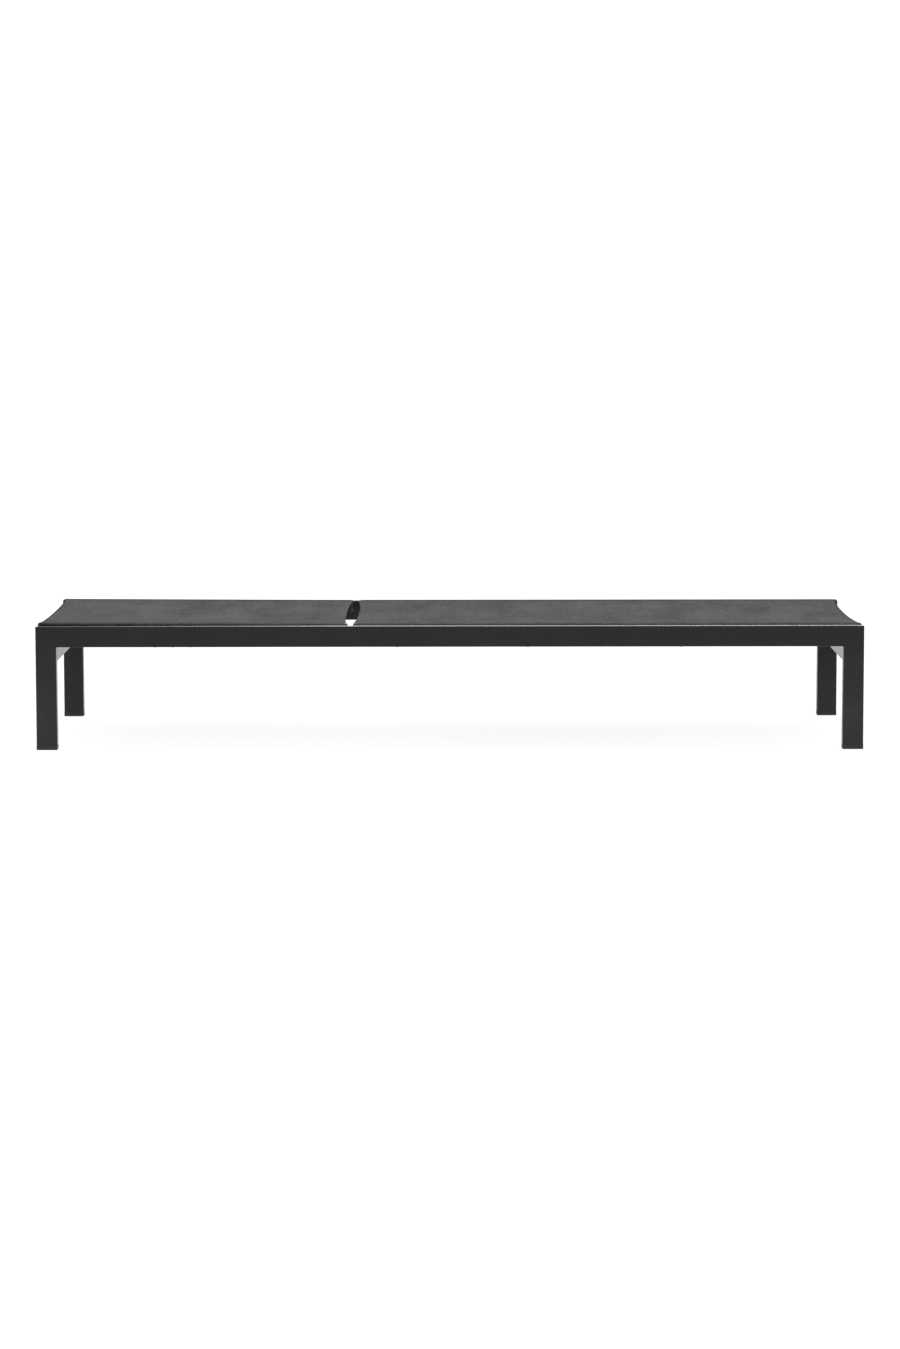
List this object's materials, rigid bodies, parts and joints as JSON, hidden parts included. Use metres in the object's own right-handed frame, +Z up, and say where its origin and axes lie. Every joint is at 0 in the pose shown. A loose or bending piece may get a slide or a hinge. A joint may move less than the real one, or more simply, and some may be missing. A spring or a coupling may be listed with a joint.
{
  "type": "reclining sun lounger",
  "caption": "Low flat sun lounger of square tube with a fixed mesh seat, a hinged mesh backrest, and a prop stay whose foot bar rests in toothed racks.",
  "frame": {"origin": "centre of the footprint on the floor, under the middle of the lounger", "axes": "+X along the lounger towards the feet with the head end at -X, +Y towards the user's left side, +Z up"},
  "size_m": [2.0006, 0.7006, 0.3067],
  "materials": {
    "frame_powder_coat": "matte",
    "sling_fabric": "matte",
    "glide_plastic": "matte",
    "cap_plastic": "matte",
    "bearing_nylon": "satin",
    "keder_plastic": "satin",
    "stainless_fasteners": "satin",
    "buffer_rubber": "matte"
  },
  "bodies": {
    "frame": {"side_rail_left": "frame_powder_coat", "side_rail_right": "frame_powder_coat", "leg_head_left": "frame_powder_coat", "leg_head_right": "frame_powder_coat", "leg_foot_left": "frame_powder_coat", "leg_foot_right": "frame_powder_coat", "glide_head_left": "glide_plastic", "glide_head_right": "glide_plastic", "glide_foot_left": "glide_plastic", "glide_foot_right": "glide_plastic", "head_crossbar": "frame_powder_coat", "foot_crossbar": "frame_powder_coat", "seat_tube_front": "frame_powder_coat", "seat_tube_middle": "frame_powder_coat", "seat_tube_foot": "frame_powder_coat", "seat_rail_left": "frame_powder_coat", "seat_rail_right": "frame_powder_coat", "seat_rail_caps": "cap_plastic", "seat_sling": "sling_fabric", "seat_keder_rods": "keder_plastic", "seat_rail_screws": "stainless_fasteners", "seat_rail_rivet_nuts": "stainless_fasteners", "foot_crossbar_bolts": "stainless_fasteners", "seat_rail_spacers": "cap_plastic", "rest_buffers": "buffer_rubber", "rack_left": "frame_powder_coat", "rack_right": "frame_powder_coat", "rack_screws": "stainless_fasteners", "hinge_bolts": "stainless_fasteners", "hinge_washers": "stainless_fasteners", "hinge_rivet_nuts": "stainless_fasteners"},
    "backrest": {"backrest_rail_left": "frame_powder_coat", "backrest_rail_right": "frame_powder_coat", "backrest_rail_caps": "cap_plastic", "backrest_tube_lower": "frame_powder_coat", "backrest_tube_upper": "frame_powder_coat", "backrest_sling": "sling_fabric", "backrest_keder_rods": "keder_plastic", "hinge_lugs": "frame_powder_coat", "hinge_bushes": "bearing_nylon", "stay_lugs": "frame_powder_coat", "stay_pivot_bolts": "stainless_fasteners", "stay_pivot_washers": "stainless_fasteners", "stay_pivot_nuts": "stainless_fasteners"},
    "stay": {"stay_arm_left": "frame_powder_coat", "stay_arm_right": "frame_powder_coat", "stay_bushes": "bearing_nylon", "stay_foot_bar": "frame_powder_coat", "stay_cross_bar": "frame_powder_coat", "stay_bar_sleeves": "bearing_nylon"}
  },
  "joints": [
    {"name": "backrest_hinge", "type": "hinge", "parent": "frame", "child": "backrest", "pos_m": [-0.29, 0, 0.27], "axis": [0, 1, 0], "range_deg": [0, 65]},
    {"name": "stay_hinge", "type": "hinge", "parent": "backrest", "child": "stay", "pos_m": [-0.53, 0, 0.27126], "axis": [0, 1, 0], "range_deg": [-130, 0]}
  ],
  "couplings": [
    {"joint": "stay_hinge", "follows": "backrest_hinge", "ratio": -2}
  ]
}
